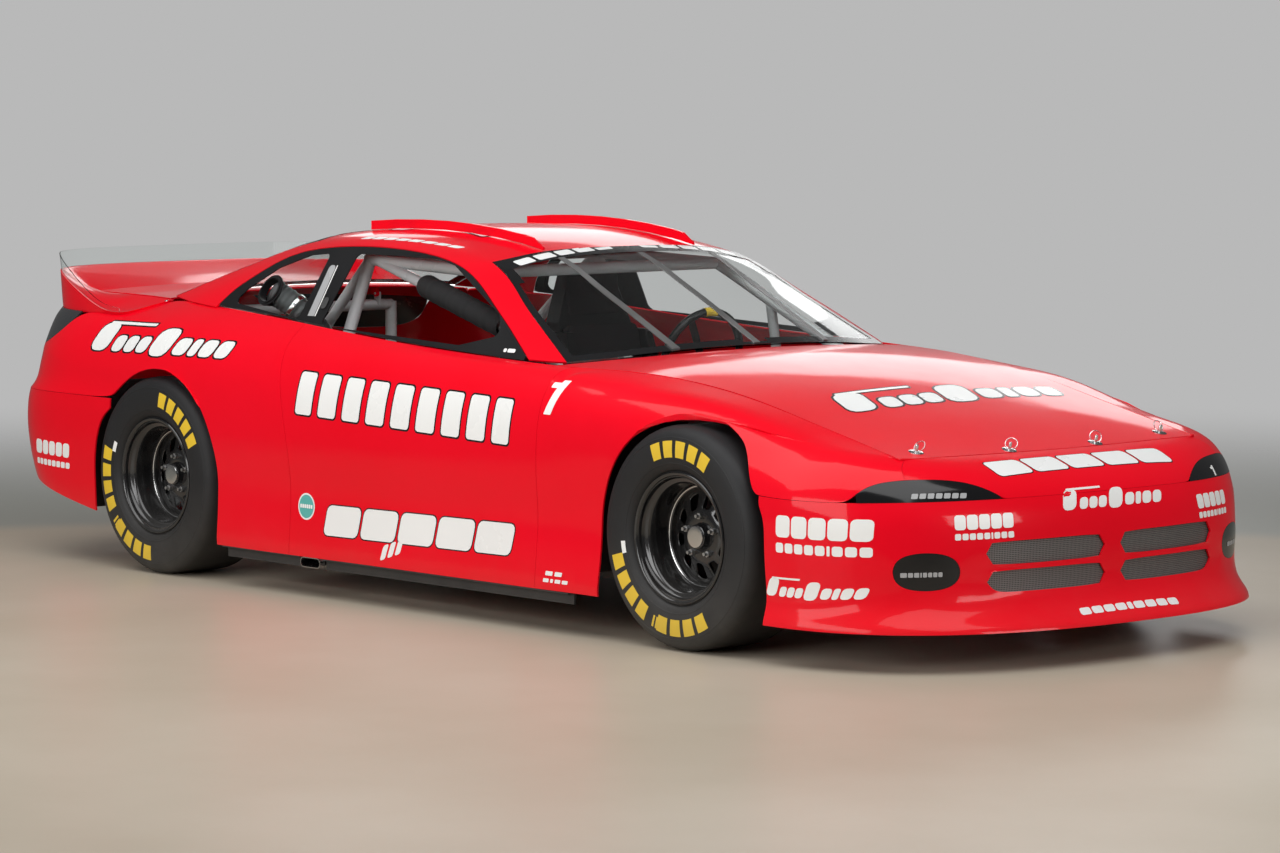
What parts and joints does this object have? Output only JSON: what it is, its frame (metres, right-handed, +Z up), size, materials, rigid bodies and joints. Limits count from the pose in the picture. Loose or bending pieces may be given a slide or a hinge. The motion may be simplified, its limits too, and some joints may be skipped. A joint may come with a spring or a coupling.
{
  "type": "stock car",
  "caption": "Full-size closed-wheel stock car with hinged hood and deck lid, tube frame, steered front wheels and four free-rolling slick tyres.",
  "frame": {"origin": "on the ground under the middle of the car's box, halfway along its length", "axes": "+X forward, towards the nose; +Y to the driver's left; +Z up"},
  "size_m": [5.02, 1.8852, 1.272],
  "materials": {
    "paint": "high gloss bright red",
    "gloss_black": "gloss black",
    "satin_black": "satin black",
    "dark_grey": "dark grey gloss",
    "mesh": "grey woven wire",
    "glass": "clear polycarbonate",
    "clear_plastic": "clear polycarbonate sheet",
    "bare_metal": "brushed grey metal",
    "exhaust_metal": "bright stainless",
    "frame_steel": "satin dark grey",
    "cage_steel": "light grey gloss",
    "padding": "matt black foam",
    "sheet_metal": "light grey satin",
    "engine": "satin grey",
    "chassis_black": "satin black",
    "wheel_black": "gloss black",
    "tyre": "smooth slick",
    "rubber": "matt black",
    "seat_cover": "black woven cover",
    "hose": "dark grey ribbed hose"
  },
  "bodies": {
    "shell": {"frame": "frame_steel", "roll_cage": "cage_steel", "cage_padding": "padding", "floor_pan": "sheet_metal", "engine": "engine", "front_bumper": "paint", "nose_panel": "paint", "light_covers": "gloss_black", "grille_mesh": "mesh", "fenders": "paint", "doors": "paint", "quarter_panels": "paint", "roof": "paint", "windscreen": "glass", "windscreen_strips": "bare_metal", "rear_window": "glass", "side_window_frames": "satin_black", "quarter_windows": "glass", "roof_rails": "paint", "spoiler": "paint", "spoiler_lip": "clear_plastic", "rear_bumper": "paint", "tail_panel": "paint", "tail_light_covers": "dark_grey", "side_skirts": "rubber", "exhaust": "exhaust_metal", "seat": "seat_cover", "dashboard": "satin_black", "window_duct": "hose", "rear_axle": "chassis_black", "front_suspension": "chassis_black"},
    "hood": {"hood": "paint"},
    "deck_lid": {"deck_lid": "paint"},
    "steering_wheel": {"steering_wheel": "satin_black"},
    "knuckle_left": {"knuckle_left": "bare_metal"},
    "knuckle_right": {"knuckle_right": "bare_metal"},
    "wheel_front_left": {"rim_front_left": "wheel_black", "tyre_front_left": "tyre"},
    "wheel_front_right": {"rim_front_right": "wheel_black", "tyre_front_right": "tyre"},
    "wheel_rear_left": {"rim_rear_left": "wheel_black", "tyre_rear_left": "tyre"},
    "wheel_rear_right": {"rim_rear_right": "wheel_black", "tyre_rear_right": "tyre"}
  },
  "joints": [
    {"name": "hood_hinge", "type": "hinge", "parent": "shell", "child": "hood", "pos_m": [0.84, 0, 0.838], "axis": [0, -1, 0], "range_deg": [0, 50]},
    {"name": "deck_lid_hinge", "type": "hinge", "parent": "shell", "child": "deck_lid", "pos_m": [-1.695, 0, 0.944], "axis": [0, 1, 0], "range_deg": [0, 50]},
    {"name": "steer_left", "type": "hinge", "parent": "shell", "child": "knuckle_left", "pos_m": [1.44, 0.62, 0.352], "axis": [0, 0, 1], "range_deg": [-22, 22]},
    {"name": "steer_right", "type": "hinge", "parent": "shell", "child": "knuckle_right", "pos_m": [1.44, -0.62, 0.352], "axis": [0, 0, 1], "range_deg": [-22, 22]},
    {"name": "steering_column", "type": "hinge", "parent": "shell", "child": "steering_wheel", "pos_m": [0.11, 0.38, 0.78], "axis": [-0.9659, 0, 0.2588], "range_deg": [-266, 266]},
    {"name": "roll_front_left", "type": "hinge", "parent": "knuckle_left", "child": "wheel_front_left", "pos_m": [1.44, 0.78, 0.352], "axis": [0, 1, 0], "continuous": true},
    {"name": "roll_front_right", "type": "hinge", "parent": "knuckle_right", "child": "wheel_front_right", "pos_m": [1.44, -0.78, 0.352], "axis": [0, 1, 0], "continuous": true},
    {"name": "roll_rear_left", "type": "hinge", "parent": "shell", "child": "wheel_rear_left", "pos_m": [-1.354, 0.78, 0.352], "axis": [0, 1, 0], "continuous": true},
    {"name": "roll_rear_right", "type": "hinge", "parent": "shell", "child": "wheel_rear_right", "pos_m": [-1.354, -0.78, 0.352], "axis": [0, 1, 0], "continuous": true}
  ],
  "couplings": [
    {"joint": "steer_right", "follows": "steer_left", "ratio": 1},
    {"joint": "steering_column", "follows": "steer_left", "ratio": 12}
  ]
}
